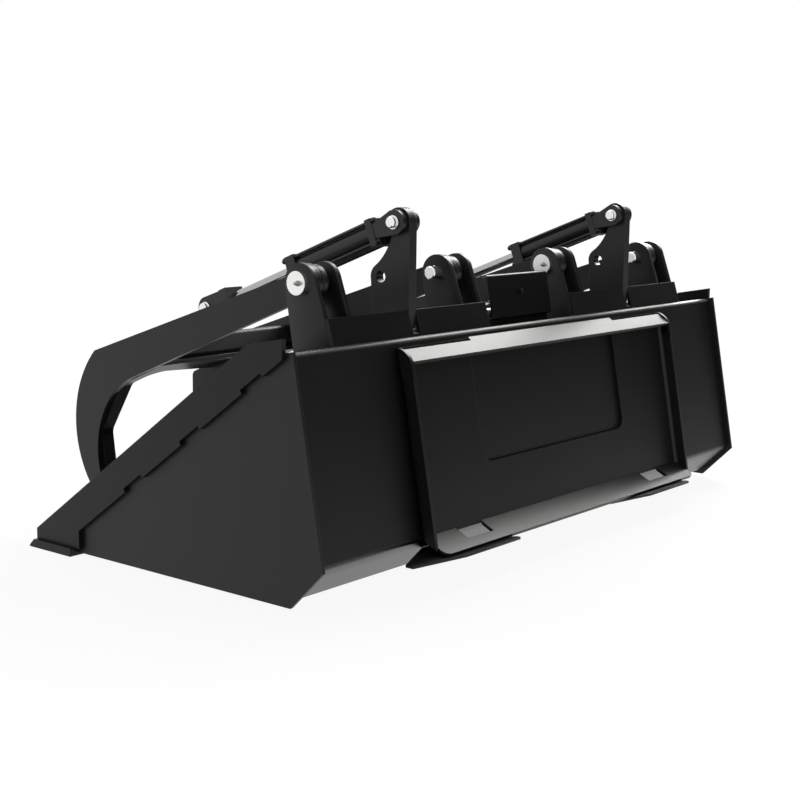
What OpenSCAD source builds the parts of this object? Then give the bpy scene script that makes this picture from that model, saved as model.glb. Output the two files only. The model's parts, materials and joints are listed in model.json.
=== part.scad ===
// Grapple bucket for a compact loader: a welded bucket with a quick-attach frame
// on its back wall and two grapples, each closed by its own hydraulic cylinder.
// X runs across the bucket, Y points to the cutting edge and Z is up.
// The origin is the middle of the cutting edge's underside.

/* [Bucket] */
// Width over the two side plates
bucket_w = 1829; // [1780:1:2200]
// Length of the flat floor, from the heel fold to its front end
floor_len = 731; // [680:1:790]
// Depth and height of the sloping heel panel
heel = 82; // [70:1:95]
// Length of the back wall between its folds
wall_len = 446.5; // [440:0.5:480]
// Forward lean of the back wall (degrees)
wall_lean = 10.65; // [8:0.05:13]
// Depth of the flange at the top of the back wall
flange_d = 150; // [140:1:160]
// Thickness of the bent sheet
sheet_t = 6; // [5:0.5:8]
// Outside radius of the sheet's folds
fold_r = 14; // [10:0.5:20]

/* [Side plates and edges] */
// Thickness of a side plate
side_t = 8; // [6:0.5:10]
// How far a side plate stands out past the sheet
side_proud = 12; // [8:0.5:15]
// Thickness of the strip on a side plate's front edge
cutter_t = 12; // [8:0.5:16]
// Width of the strip
cutter_w = 76; // [65:1:90]
// Height of the strip's top edge above the flange
cutter_rise = 29; // [20:1:35]
// Length of a notch in the strip's lower edge
notch_len = 72; // [50:1:90]
// Depth of a notch
notch_d = 9; // [5:0.5:12]
// Distance from notch to notch
notch_pitch = 228; // [190:1:235]
// Thickness of the cutting edge
edge_t = 20; // [16:0.5:25]
// Depth of the cutting edge, back to front
edge_d = 152; // [130:1:180]
// Lap of the floor on the cutting edge
edge_lap = 50; // [40:1:60]
// Bevel length at the front of the cutting edge
edge_bevel = 16; // [8:1:16]
// How far the cutting edge stands out past each strip
edge_side = 10; // [5:1:20]

/* [Quick-attach frame] */
// Width of the frame
attach_w = 1158; // [1120:1:1180]
// Thickness of the face plate, its flanges and the lower lip
face_t = 8; // [6:0.5:10]
// Height of the face plate along the back wall
face_h = 426; // [400:1:430]
// Depth of the side flanges from the back wall
attach_flange_d = 41; // [36:1:46]
// Width of the open window in the face plate
window_w = 636; // [500:1:700]
// Height of the window's sill along the back wall
window_sill = 134; // [100:1:180]
// Corner radius of the window
window_r = 30; // [15:1:50]
// Thickness of the upper lip
top_lip_t = 10; // [8:0.5:12]
// Reach of the lower lip from the face plate
low_lip_reach = 54; // [45:1:60]
// Slope of the lower lip below the face plate's normal (degrees)
low_lip_slope = 45; // [42:0.5:47]
// Distance of a lock-pin slot from the middle
slot_x = 410; // [395:1:440]
// Width of a lock-pin slot
slot_w = 98; // [70:1:110]
// Depth of a lock-pin slot along the lip
slot_d = 46; // [35:1:52]
// Thickness of the gusset under each slot
lip_gusset_t = 6.4; // [5:0.1:8]
// Rear edge length of that gusset
lip_gusset_w = 210; // [180:1:240]

/* [Hinges] */
// Distance from the middle to each grapple's centre
grapple_x = 472; // [465:1:520]
// Distance from one ear pair's centre to the other in a grapple
pair_gap = 480; // [440:1:480]
// Height of the hinge pins above the ground
hinge_z = 666; // [660:1:690]
// Hinge pins in front of the heel fold
hinge_y = 117; // [110:1:125]
// Thickness of an ear
ear_t = 12.7; // [10:0.1:16]
// Width over an ear pair
ear_pair_w = 88; // [84:1:96]
// Radius of an ear's round top
ear_r = 48; // [46:1:52]
// Diameter of the hinge pins
hinge_pin_d = 31.75; // [28:0.25:34]
// Diameter of a hinge pin's round head
pin_head_d = 52; // [46:1:56]
// Thickness of that head
pin_head_t = 12; // [8:1:16]
// Thickness of the leaning gusset plates
back_gusset_t = 8; // [6:0.5:10]
// Height of those plates above the flange
back_gusset_h = 60; // [45:1:70]

/* [Masts and hose cover] */
// Thickness of a mast
mast_t = 25.4; // [20:0.2:27]
// Mast pin above the hinge pins
mast_pin_rise = 125; // [115:1:130]
// Mast pin behind the hinge pins
mast_pin_back = 50; // [45:1:55]
// Radius of the mast's round top
mast_r = 33; // [30:0.5:34]
// Diameter of the spare hole level with the hinge pins
mast_hole_d = 27; // [20:0.5:30]
// Width of the hose cover
cover_w = 262; // [220:1:290]
// Height of the hose cover
cover_h = 126; // [105:1:140]
// Thickness of the hose cover
cover_t = 4; // [3:0.5:6]

/* [Grapples] */
// Thickness of a tine
tine_t = 16; // [12:0.5:18]
// Outside radius of a tine's hub
hub_r = 41; // [38:0.5:43]
// Side play between a hub and its ears, at each end
hub_play = 1.5; // [1:0.1:2]
// Radius of the hook's outer edge
hook_out_r = 256; // [252:0.5:258]
// Radius of the hook's inner edge
hook_in_r = 210; // [206:0.5:212]
// Height of a closed tine's tip above the floor sheet
tip_clear = 8; // [6:1:14]
// Thickness of the bent plate between the tines
web_t = 10; // [8:0.5:12]
// Width of the bent plate's leg along each tine
web_leg_w = 34; // [25:1:45]
// Side of the square cross tube
cross_tube = 60; // [50:1:64]
// Wall of the cross tube
cross_wall = 6; // [4:0.5:8]
// Thickness of the rod lug
lug_t = 25.4; // [20:0.2:27]
// Radius of the rod lug's round end
lug_r = 30; // [28:0.5:34]
// How far a grapple opens (degrees)
open_angle = 45; // [30:1:45]

/* [Cylinders] */
// Distance between the cylinder's pins with the grapple closed
pin_to_pin = 647.4; // [640:0.2:650]
// Slope of a closed cylinder below level (degrees)
cyl_slope = 21.1; // [20:0.1:22]
// Bore of the barrel
bore_d = 50.8; // [45:0.2:51]
// Outside diameter of the barrel
barrel_d = 58; // [56:0.5:60]
// Side of the square end caps
cap_w = 63.5; // [62:0.5:66]
// Diameter of the piston rod
rod_d = 28.6; // [25:0.1:30]
// Diameter of the mast pins and rod pins
cyl_pin_d = 25.4; // [22:0.2:25.4]
// Gap between the two ears of a clevis
clevis_gap = 28; // [27.6:0.2:29]
// Thickness of a clevis ear
clevis_t = 16; // [14:0.5:18]
// Radius of a clevis ear's round end
clevis_r = 28; // [25:0.5:29]
// Distance from the mast pin to the rear cap
base_len = 62; // [60:1:66]
// Thickness of the rear cap
rear_cap_t = 18; // [15:1:22]
// Length of barrel between the caps
barrel_len = 236; // [225:1:240]
// Thickness of the gland cap
gland_t = 31; // [26:1:35]
// Diameter of a tie rod
tie_d = 9.5; // [8:0.5:10]
// Length of the rod clevis's base
rod_base_len = 25; // [20:1:30]

/* [Hidden] */
run_gap = 0.08;
fine = 72;

// Vectors and outlines are [y, z] pairs in the bucket's side view.
function unit(v) = v / norm(v);
function turn_left(v) = [-v[1], v[0]];
function along(angle) = [cos(angle), sin(angle)];
function angle_of(v) = atan2(v[1], v[0]);
function ring_arc(centre, r, from, to, steps = 24) =
    [for (i = [0 : steps]) centre + r * along(from + (to - from) * i / steps)];
// Point where the line through a along u meets the line through b along v.
function crossing(a, u, b, v) =
    a + u * ((b - a) * turn_left(v)) / (u * turn_left(v));
// The corner of a path, moved d to the path's left on both legs.
function moved_corner(a, b, c, d) =
    let (m = turn_left(unit(b - a)), n = turn_left(unit(c - b)))
    b + d * (m + n) / (1 + m * n);
// One face of a bent sheet: the path with each inner corner rounded. The path
// turns right at each corner, and d moves the face to the path's right.
function bent_face(path, r, d) =
    let (last = len(path) - 1,
        start = path[0] - d * turn_left(unit(path[1] - path[0])),
        end = path[last] - d * turn_left(unit(path[last] - path[last - 1])))
    concat([start],
        [for (k = [1 : 1 : last - 1])
            let (u = unit(path[k] - path[k - 1]), v = unit(path[k + 1] - path[k]),
                centre = moved_corner(path[k - 1], path[k], path[k + 1], -r),
                from = angle_of(turn_left(u)),
                sweep = acos(u * v))
            each ring_arc(centre, r - d, from, from - sweep, 8)],
        [end]);
function reversed(list) = [for (i = [len(list) - 1 : -1 : 0]) list[i]];
function bent_outline(path, r, t) =
    concat(bent_face(path, r, 0), reversed(bent_face(path, r, t)));

// Bucket profile
wall_dir = [sin(wall_lean), cos(wall_lean)];
flange_dir = [cos(wall_lean), -sin(wall_lean)];
floor_front = [floor_len, edge_t];
heel_low = [0, edge_t];
heel_high = [-heel, edge_t + heel];
wall_top = heel_high + wall_len * wall_dir;
flange_end = wall_top + flange_d * flange_dir;
sheet_path = [floor_front, heel_low, heel_high, wall_top, flange_end];
edge_back = floor_len - edge_lap;
edge_front = edge_back + edge_d;
origin_y = (edge_back + edge_front) / 2;
edge_tip_t = 4;

// Strip on a side plate's front edge: its top follows the flange, then runs
// straight down to the nose above the cutting edge
cutter_back_y = 7;
cutter_turn_y = 105;
nose_y = edge_front - edge_bevel;
nose_h = 26;
nose_len = 157;
function above_flange(y, rise) =
    [y, wall_top[1] + rise - (y - wall_top[0]) * tan(wall_lean)];
cutter_turn = above_flange(cutter_turn_y, cutter_rise);
nose_top = [nose_y, edge_t + nose_h];
cutter_dir = unit(nose_top - cutter_turn);
cutter_in = [cutter_dir[1], -cutter_dir[0]];
cutter_inset = 4;

// Hinge and cylinder axes
hinge = [hinge_y, hinge_z];
mast_pin = hinge + [-mast_pin_back, mast_pin_rise];
cyl_dir = along(-cyl_slope);
rod_eye = mast_pin + pin_to_pin * cyl_dir;

// Tine outline: the hook lies between two arcs. The arm's top edge runs down to a
// corner on the outer arc and its lower edge runs into the inner arc.
arm_top_off = 26;
arm_low_off = 33;
hook_out_c = [637, 276];
hook_in_c = [600, 211];
hook_corner = hook_out_c + hook_out_r * along(45.8);
to_corner = hook_corner - hinge;
to_hook = hook_in_c - hinge;
arm_top_angle = angle_of(to_corner) - asin(arm_top_off / norm(to_corner));
arm_low_angle = angle_of(to_hook) + asin((arm_low_off + hook_in_r) / norm(to_hook));
tip_z = edge_t + sheet_t + tip_clear;

// Bent plate: its bends lie just inside the hook's inner edge
web_back_y = 592;
web_bend_r = 30;
web_in_r = hook_in_r + 6;

// A child drawn in the [y, z] side view becomes a plate from x to x + t.
module plate(x, t) {
    translate([x, -origin_y, 0])
        rotate([90, 0, 90])
            linear_extrude(t)
                children();
}

// A round bar or bore along X about a [y, z] point.
module bar(x, length, at, d) {
    translate([x, at[0] - origin_y, at[1]])
        rotate([0, 90, 0])
            cylinder(d = d, h = length, $fn = fine);
}

// Frame of the back wall: Z runs up the wall, Y points forward from its rear face.
module on_wall() {
    translate([0, heel_high[0] - origin_y, heel_high[1]])
        rotate([-wall_lean, 0, 0])
            children();
}

module bucket_shell() color("#1d1e1d")
    plate(-bucket_w / 2 + side_t, bucket_w - 2 * side_t)
        polygon(bent_outline(sheet_path, fold_r, sheet_t));

// Side plate: stands out past the sheet at the floor, heel and back wall
module side_plate(x) color("#222422")
    plate(x, side_t) {
        front = cutter_turn + cutter_inset * cutter_in;
        polygon([
            moved_corner(floor_front, heel_low, heel_high, side_proud),
            moved_corner(heel_low, heel_high, wall_top, side_proud),
            wall_top - side_proud * flange_dir,
            crossing(wall_top, flange_dir, front, cutter_dir),
            crossing(front, cutter_dir, [nose_y - cutter_inset, 0], [0, 1]),
            [nose_y - cutter_inset, edge_t],
            [edge_back, edge_t],
            [edge_back, edge_t - side_proud]
        ]);
    }

// Strip with notches for the welds along its lower edge
module side_cutter(x) color("#1f201f")
    plate(x, cutter_t) {
        low = cutter_turn + cutter_w * cutter_in;
        back = above_flange(cutter_back_y, cutter_rise);
        nose_back = [nose_y - nose_len, edge_t];
        difference() {
            polygon([
                back, cutter_turn, nose_top, [nose_y, edge_t], nose_back,
                crossing(nose_back, [0, 1], low, cutter_dir),
                crossing(back, [0, 1], low, cutter_dir)
            ]);
            for (k = [0 : 2])
                translate(low + (2 + notch_pitch * k) * cutter_dir)
                    rotate(angle_of(cutter_dir))
                        translate([0, -1])
                            square([notch_len, notch_d + 1]);
        }
    }

module cutting_edge() color("#202220") {
    half = bucket_w / 2 + cutter_t + edge_side;
    plate(-half, 2 * half)
        polygon([
            [edge_back, 0], [edge_front, 0], [edge_front, edge_tip_t],
            [nose_y, edge_t], [edge_back, edge_t]
        ]);
}

// Lips of the quick-attach frame, as [y, z] in the wall's frame
low_lip_top = [-face_t, 18];
low_lip_dir = -along(low_lip_slope);
low_lip_end = low_lip_top + low_lip_dir * low_lip_reach / cos(low_lip_slope);
low_lip_down = [-low_lip_dir[1], low_lip_dir[0]];
attach_bend_r = 18;
top_lip_slope = 47;
top_lip_dir = -along(top_lip_slope);
top_lip_out = [-attach_flange_d - 1, face_h - 34];
top_lip_down = [-top_lip_dir[1], top_lip_dir[0]];

// Face plate: flanges bent back at both sides, with a window open at the top
module attach_face() color("#1b1c1b") {
    half = attach_w / 2;
    lip_under = top_lip_out + top_lip_t * top_lip_down;
    low_under = low_lip_top + face_t * low_lip_down;
    low_front = crossing(low_under, low_lip_dir, [-attach_flange_d, 0], [0, 1]);
    on_wall()
        difference() {
            intersection() {
                linear_extrude(2 * face_h, center = true)
                    polygon(bent_outline([
                        [-half, -attach_flange_d], [-half, 0],
                        [half, 0], [half, -attach_flange_d]
                    ], attach_bend_r, face_t));
                rotate([90, 0, 90])
                    linear_extrude(attach_w + 2, center = true)
                        polygon([
                            [0, 0], [-face_t, 0],
                            low_front, [-attach_flange_d, lip_under[1] - 12],
                            lip_under + [6, 0],
                            crossing(lip_under, top_lip_dir, [-face_t, 0], [0, 1]),
                            [-face_t, face_h], [0, face_h]
                        ]);
            }
            translate([-window_w / 2, -face_t - 1, window_sill])
                translate([0, face_t + 2, 0])
                    rotate([90, 0, 0])
                        linear_extrude(face_t + 2) {
                            translate([0, window_r])
                                square([window_w, face_h]);
                            translate([window_r, 0])
                                square([window_w - 2 * window_r, face_h]);
                            for (x = [window_r, window_w - window_r])
                                translate([x, window_r])
                                    circle(window_r, $fn = fine);
                        }
        }
}

// Upper lip: hooks over the loader's coupler, longer across the window
module attach_top_lip() color("#3b3d3b")
    on_wall()
        rotate([90, 0, 90]) {
            end_under = top_lip_out + top_lip_t * top_lip_down;
            end_face = crossing(end_under, top_lip_dir, [-face_t, 0], [0, 1]);
            end_wall = crossing(end_under, top_lip_dir, [0, 0], [0, 1]);
            linear_extrude(attach_w, center = true)
                polygon([
                    top_lip_out, end_under, end_face,
                    end_face - top_lip_t * top_lip_down
                ]);
            linear_extrude(window_w, center = true)
                polygon([
                    top_lip_out, end_under, end_wall,
                    end_wall - top_lip_t * top_lip_down
                ]);
        }

// Lower lip with the two lock-pin slots
module attach_low_lip() color("#343634")
    on_wall() {
        width = attach_w - 2 * face_t;
        corner = 22;
        relief = attach_bend_r - face_t + 2;
        lip_len = low_lip_reach / cos(low_lip_slope);
        difference() {
            rotate([90, 0, 90])
                linear_extrude(width, center = true)
                    polygon([
                        low_lip_top, low_lip_end,
                        low_lip_end + face_t * low_lip_down,
                        crossing(low_lip_end + face_t * low_lip_down, low_lip_dir,
                            [-face_t, 0], [0, 1])
                    ]);
            for (side = [-1, 1])
                linear_extrude(4 * face_h, center = true)
                    polygon([
                        [side * (width / 2 + 1), -face_t + 1],
                        [side * (width / 2 - relief), -face_t + 1],
                        [side * (width / 2 + 1), -face_t - relief]
                    ]);
            translate([0, low_lip_top[0], low_lip_top[1]])
                rotate([180 + low_lip_slope, 0, 0]) {
                    for (side = [-1, 1])
                        translate([side * slot_x - slot_w / 2, -face_t, -2])
                            cube([slot_w, slot_d + face_t, 2 * face_t]);
                    for (side = [-1, 1])
                        translate([side * (width / 2 - corner), lip_len - corner, -2])
                            difference() {
                                translate([side > 0 ? 0 : -corner - 1, 0, 0])
                                    cube([corner + 1, corner + 1, 2 * face_t]);
                                translate([0, 0, -1])
                                    cylinder(r = corner, h = 2 * face_t + 2, $fn = fine);
                            }
                }
        }
    }

// Gusset under each slot, welded to the heel panel and the lip's lower edge
lip_low_corner = heel_high
    + (low_lip_end + face_t * low_lip_down)[0] * flange_dir
    + (low_lip_end + face_t * low_lip_down)[1] * wall_dir;
module lip_gusset(side) color("#1b1c1b") {
    top = lip_low_corner[1];
    rear = lip_low_corner[0] - 18;
    front = edge_t - top;
    tip_x = lip_gusset_w / 2 + 156;
    front_x = lip_gusset_w / 2 + 75;
    tip_near = rear + 28;
    tip_far = rear + 49;
    translate([side * slot_x, -origin_y, top - lip_gusset_t])
        linear_extrude(lip_gusset_t)
            polygon([
                [-lip_gusset_w / 2, rear], [lip_gusset_w / 2, rear],
                [tip_x, tip_near], [tip_x, tip_far], [front_x, front],
                [-front_x, front], [-tip_x, tip_far], [-tip_x, tip_near]
            ]);
}

// Ear pairs: round tops and legs that taper out down to the flange
pair_x = [for (g = [-1, 1], p = [-1, 1]) g * grapple_x + p * pair_gap / 2];
ear_rear_slope = 17.7;
ear_front_slope = 12;
function ear_rear_at(z) =
    crossing(hinge - ear_r * along(-ear_rear_slope),
        [sin(ear_rear_slope), cos(ear_rear_slope)], [0, z], [1, 0]);
ear_rear_foot = crossing(hinge - ear_r * along(-ear_rear_slope),
    [sin(ear_rear_slope), cos(ear_rear_slope)], wall_top, flange_dir);
ear_front_foot = crossing(hinge + ear_r * along(-ear_front_slope),
    [sin(ear_front_slope), cos(ear_front_slope)], wall_top, flange_dir);
module hinge_ears(k) color("#232523")
    for (x = [pair_x[k] - ear_pair_w / 2, pair_x[k] + ear_pair_w / 2 - ear_t])
        difference() {
            plate(x, ear_t) {
                polygon([
                    ear_rear_foot, ear_front_foot,
                    hinge + ear_r * along(-ear_front_slope),
                    hinge,
                    hinge - ear_r * along(-ear_rear_slope)
                ]);
                translate(hinge)
                    circle(ear_r, $fn = fine);
            }
            bar(x - 1, ear_t + 2, hinge, hinge_pin_d + 2 * run_gap);
        }

// Leaning gusset plates across the ears' rear edges, either side of the mast
module back_gusset(k) color("#141514") {
    centre = (k < 2 ? -1 : 1) * grapple_x;
    outer = pair_gap / 2 + ear_pair_w / 2;
    x = k % 2 == 0 ? centre - outer : centre + mast_t / 2;
    up = [sin(ear_rear_slope), cos(ear_rear_slope)];
    out = [-cos(ear_rear_slope), sin(ear_rear_slope)];
    outer_foot = crossing(ear_rear_foot + back_gusset_t * out, up, wall_top, flange_dir);
    plate(x, outer - mast_t / 2)
        polygon([
            ear_rear_foot, outer_foot,
            ear_rear_foot + back_gusset_t * out + back_gusset_h * up,
            ear_rear_foot + back_gusset_h * up
        ]);
}

// Mast: carries the cylinder's base pin, with a spare hole level with the hinge
module mast(side) color("#232725") {
    x = side * grapple_x - mast_t / 2;
    rear_y = mast_pin[0] - mast_r;
    lug_front = 30;
    foot_front = 18;
    neck_angle = 54;
    neck_r = 127;
    neck_c = hinge + (lug_front + neck_r) * along(neck_angle);
    plate_front = concat(ring_arc(hinge, lug_front, -12, neck_angle, 8),
        ring_arc(neck_c, neck_r, neck_angle + 180, 192, 12));
    difference() {
        plate(x, mast_t) {
            polygon(concat([
                crossing([rear_y, 0], [0, 1], wall_top, flange_dir),
                crossing([hinge_y + foot_front, 0], [0, 1], wall_top, flange_dir)],
                plate_front,
                [mast_pin, [rear_y, mast_pin[1]]]));
            translate(mast_pin)
                circle(mast_r, $fn = fine);
        }
        bar(x - 1, mast_t + 2, mast_pin, cyl_pin_d + 2 * run_gap);
        bar(x - 1, mast_t + 2, hinge, mast_hole_d);
    }
}

// Hose cover: a bent plate that leans with the back wall
cover_back = 49;
cover_lip = 22;
cover_base = above_flange(cover_back, 0);
cover_foot = 60;
cover_bolt_x = 4;
cover_bolt_d = 8;
// Frame of the cover's bolt: its axis points out of the cover's rear face
module at_cover_bolt() {
    at = cover_base + 0.62 * cover_h * wall_dir;
    translate([cover_bolt_x, at[0] - origin_y, at[1]])
        rotate([90 - wall_lean, 0, 0])
            children();
}
module hose_cover() color("#131413") {
    top = cover_base + cover_h * wall_dir;
    difference() {
        plate(-cover_w / 2, cover_w)
            polygon(bent_outline([
                cover_base + cover_foot * flange_dir, cover_base,
                top, top + cover_lip * flange_dir
            ], 8, cover_t));
        at_cover_bolt()
            translate([0, 0, -cover_t - 1])
                cylinder(d = cover_bolt_d + 2 * run_gap, h = cover_t + 2, $fn = fine);
    }
}

module cover_bolt() color("#2a2c2a")
    at_cover_bolt() {
        cylinder(d = 15, h = 5, $fn = 6);
        translate([0, 0, -cover_t - 9])
            cylinder(d = cover_bolt_d, h = cover_t + 9, $fn = fine);
        translate([0, 0, -cover_t - 7])
            cylinder(d = 15, h = 7, $fn = 6);
    }

// Two hose couplers that lie on the cover's foot and stand out at its left end
coupler_d = 26;
coupler_pitch = 28;
module hose_couplers() color("silver")
    for (k = [0, 1]) {
        at = cover_base + (cover_t + 7 + coupler_d / 2 + coupler_pitch * k) * flange_dir
            + (cover_t + coupler_d / 2 + 0.1) * wall_dir;
        translate([-cover_w / 2 - 20, at[0] - origin_y, at[1]])
            rotate([0, 90, 0]) {
                cylinder(d = 0.7 * coupler_d, h = 54, $fn = fine);
                translate([0, 0, 22])
                    cylinder(d = coupler_d, h = 26, $fn = fine);
            }
    }

// Hinge pin: a round head outside one ear, a nut end outside the other
pin_tail = 24;
module hinge_pin(k) color("#d8d9d6") {
    head_side = k % 2 == 0 ? -1 : 1;
    half = ear_pair_w / 2;
    translate([pair_x[k], hinge_y - origin_y, hinge_z])
        rotate([0, 90 * head_side, 0]) {
            translate([0, 0, half])
                cylinder(d = pin_head_d, h = pin_head_t, $fn = fine);
            translate([0, 0, -half - pin_tail])
                cylinder(d = hinge_pin_d, h = 2 * half + pin_tail, $fn = fine);
        }
}

module hinge_nuts() color("#c9cac6")
    for (k = [0 : 3]) {
        head_side = k % 2 == 0 ? -1 : 1;
        translate([pair_x[k], hinge_y - origin_y, hinge_z])
            rotate([0, -90 * head_side, 0])
                translate([0, 0, ear_pair_w / 2])
                    difference() {
                        cylinder(d = 48, h = 17, $fn = 6);
                        translate([0, 0, -1])
                            cylinder(d = hinge_pin_d + 2 * run_gap, h = 19, $fn = fine);
                    }
    }

// Tine: one plate with a straight arm and a hook between two arcs
arm_top_n = [-sin(arm_top_angle), cos(arm_top_angle)];
arm_low_n = [-sin(arm_low_angle), cos(arm_low_angle)];
arm_low_dir = along(arm_low_angle);
arm_top_start = hinge + arm_top_off * arm_top_n;
arm_low_start = hinge - arm_low_off * arm_low_n;
function circle_z(c, r, z) = [c[0] + sqrt(r * r - pow(z - c[1], 2)), z];
hook_out_tip = circle_z(hook_out_c, hook_out_r, tip_z);
hook_in_tip = circle_z(hook_in_c, hook_in_r, tip_z);
// The hook's inner arc starts where it is square to the arm's lower edge
hook_in_from = 90 + arm_low_angle;
module tine(k) color("#1f211f") {
    x = pair_x[k] - ear_pair_w / 2 + ear_t + hub_play;
    hub_len = ear_pair_w - 2 * ear_t - 2 * hub_play;
    difference() {
        union() {
            plate(x, tine_t) {
                polygon(concat(
                    [arm_top_start],
                    ring_arc(hook_out_c, hook_out_r, angle_of(hook_corner - hook_out_c),
                        angle_of(hook_out_tip - hook_out_c), 30),
                    ring_arc(hook_in_c, hook_in_r, angle_of(hook_in_tip - hook_in_c),
                        hook_in_from, 30),
                    [arm_low_start, hinge]));
                translate(hinge)
                    circle(hub_r, $fn = fine);
            }
            bar(x, hub_len, hinge, 2 * hub_r - 14);
        }
        bar(x - 1, hub_len + 2, hinge, hinge_pin_d + 2 * run_gap);
    }
}

// Bent plate between the tines of a grapple, cut out between its two legs
web_start = crossing(arm_low_start, arm_low_dir, [web_back_y, 0], [0, 1]);
web_path = concat([web_start],
    [for (angle = [52, 12, -28]) hook_in_c + web_in_r * along(angle)]);
web_dir = unit(web_path[1] - web_start);
web_up = turn_left(web_dir);
// A point u along the plate's first flat and v above its upper face
function on_web(u, v) = web_start + u * web_dir + (web_t + v) * web_up;
tine_near = pair_gap / 2 + ear_pair_w / 2 - ear_t - hub_play - tine_t;
tine_far = pair_gap / 2 - ear_pair_w / 2 + ear_t + hub_play;
web_w = tine_near + tine_far;
web_notch_y = 650;
web_mid_y = 677;
module web(side) color("#181918") {
    left = -tine_near + web_leg_w;
    right = tine_far - web_leg_w;
    corner = 40;
    tongue = lug_t / 2 + 2;
    below = 900;
    difference() {
        plate(side * grapple_x - tine_near, web_w)
            polygon(concat(bent_face(web_path, web_bend_r, -web_t),
                reversed(bent_face(web_path, web_bend_r, 0))));
        translate([side * grapple_x, -origin_y, 0])
            linear_extrude(hinge_z)
                polygon(concat(
                    [[left, below]],
                    ring_arc([left + corner, web_notch_y + corner], corner, 180, 262, 8),
                    [[-tongue, web_mid_y], [tongue, web_mid_y]],
                    ring_arc([right - corner, web_notch_y + corner], corner, 278, 360, 8),
                    [[right, below]]));
    }
}

// Square tube on the bent plate's rear end
tube_corner_r = 12;
module round_square(size, r) {
    translate([r, 0])
        square([size - 2 * r, size]);
    translate([0, r])
        square([size, size - 2 * r]);
    for (y = [r, size - r], z = [r, size - r])
        translate([y, z])
            circle(r, $fn = fine);
}
module cross_bar(side) color("#1c1d1c")
    plate(side * grapple_x - tine_near, web_w)
        translate(on_web(0, 0))
            rotate(angle_of(web_dir))
                difference() {
                    round_square(cross_tube, tube_corner_r);
                    translate([cross_wall, cross_wall])
                        round_square(cross_tube - 2 * cross_wall, tube_corner_r - cross_wall);
                }

// As a grapple opens, its cylinder turns and shortens at about these steady rates,
// in degrees and millimetres for each degree. The rod pin then drifts a little in
// the lug's hole, and the hole is wide enough for the whole drift.
cyl_turn_rate = 0.904;
cyl_stroke_rate = 2.09;
hole_margin = 0.5;
function turned(v, angle) =
    [v[0] * cos(angle) - v[1] * sin(angle), v[0] * sin(angle) + v[1] * cos(angle)];
function pin_drift(angle) =
    turned(mast_pin - hinge + (pin_to_pin - cyl_stroke_rate * angle)
        * along(cyl_turn_rate * angle - cyl_slope), -angle)
    - (rod_eye - hinge);
lug_drift = max([for (i = [0 : 30]) norm(pin_drift(open_angle * i / 30))]);
lug_hole_d = cyl_pin_d + 2 * (lug_drift + hole_margin);
module rod_lug(side) color("#1f211f") {
    x = side * grapple_x - lug_t / 2;
    foot = 24;
    difference() {
        plate(x, lug_t) {
            polygon([
                on_web(2, cross_tube), on_web(cross_tube, cross_tube),
                on_web(cross_tube, 0), on_web(cross_tube + foot, 0),
                rod_eye + lug_r * along(-15), rod_eye,
                rod_eye + lug_r * along(-190)
            ]);
            translate(rod_eye)
                circle(lug_r, $fn = fine);
        }
        bar(x - 1, lug_t + 2, rod_eye, lug_hole_d);
    }
}

// Rib under the bent plate that reaches forward into its cut-out
rib_front_y = 742;
rib_low_z = 300;
module web_rib(side) color("#161716")
    plate(side * grapple_x - lug_t / 2, lug_t) {
        step = web_mid_y + 1;
        corner = 14;
        step_low = crossing(on_web(0, -web_t), web_dir, [step, 0], [0, 1]);
        step_top = crossing(on_web(0, 0), web_dir, [step, 0], [0, 1]);
        nose = crossing(on_web(0, 0), web_dir, [rib_front_y, 0], [0, 1]);
        polygon(concat(
            [on_web(14, -web_t), step_low, step_top],
            ring_arc([rib_front_y - corner, nose[1] - corner + 4], corner, 66, 0, 6),
            ring_arc([rib_front_y - corner, rib_low_z + corner], corner, 0, -120, 8)));
    }

// Frame of a cylinder: the origin is the mast pin and Y runs to the rod pin
module on_cylinder(side) {
    translate([side * grapple_x, mast_pin[0] - origin_y, mast_pin[1]])
        rotate([-cyl_slope, 0, 0])
            children();
}
module axial(from, to, d) {
    translate([0, from, 0])
        rotate([-90, 0, 0])
            cylinder(d = d, h = to - from, $fn = fine);
}
// Two clevis ears about a pin at y = at, which taper to a base at y = base
module clevis(at, base, base_half) {
    reach = abs(base - at);
    way = sign(base - at);
    lean = asin((clevis_r - base_half) / reach);
    difference() {
        for (x = [-clevis_gap / 2 - clevis_t, clevis_gap / 2])
            translate([x, 0, 0])
                rotate([90, 0, 90])
                    linear_extrude(clevis_t) {
                        polygon([
                            [at + way * clevis_r * sin(lean), clevis_r * cos(lean)],
                            [base, base_half], [base, -base_half],
                            [at + way * clevis_r * sin(lean), -clevis_r * cos(lean)]
                        ]);
                        translate([at, 0])
                            circle(clevis_r, $fn = fine);
                    }
        translate([-clevis_gap / 2 - clevis_t - 1, at, 0])
            rotate([0, 90, 0])
                cylinder(d = cyl_pin_d + 2 * run_gap,
                    h = clevis_gap + 2 * clevis_t + 2, $fn = fine);
    }
}
barrel_from = base_len + rear_cap_t;
barrel_to = barrel_from + barrel_len;
gland_to = barrel_to + gland_t;
rod_to = pin_to_pin - 82.4;
piston_t = 30;
tie_off = cap_w / 2 - 7.25;
tie_nut_d = 15;
tie_nut_t = 8;
base_ear_half = tie_off - tie_nut_d / 2 - 0.5;

// A square end cap with a hole for each tie rod
module end_cap(from, thickness) {
    difference() {
        translate([-cap_w / 2, from, -cap_w / 2])
            cube([cap_w, thickness, cap_w]);
        for (x = [-tie_off, tie_off], z = [-tie_off, tie_off])
            translate([x, 0, z])
                axial(from - 1, from + thickness + 1, tie_d + 2 * run_gap);
    }
}
module cylinder_base(side) color("#1f2120")
    on_cylinder(side) {
        end_cap(base_len, rear_cap_t);
        clevis(0, base_len, base_ear_half);
    }

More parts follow.
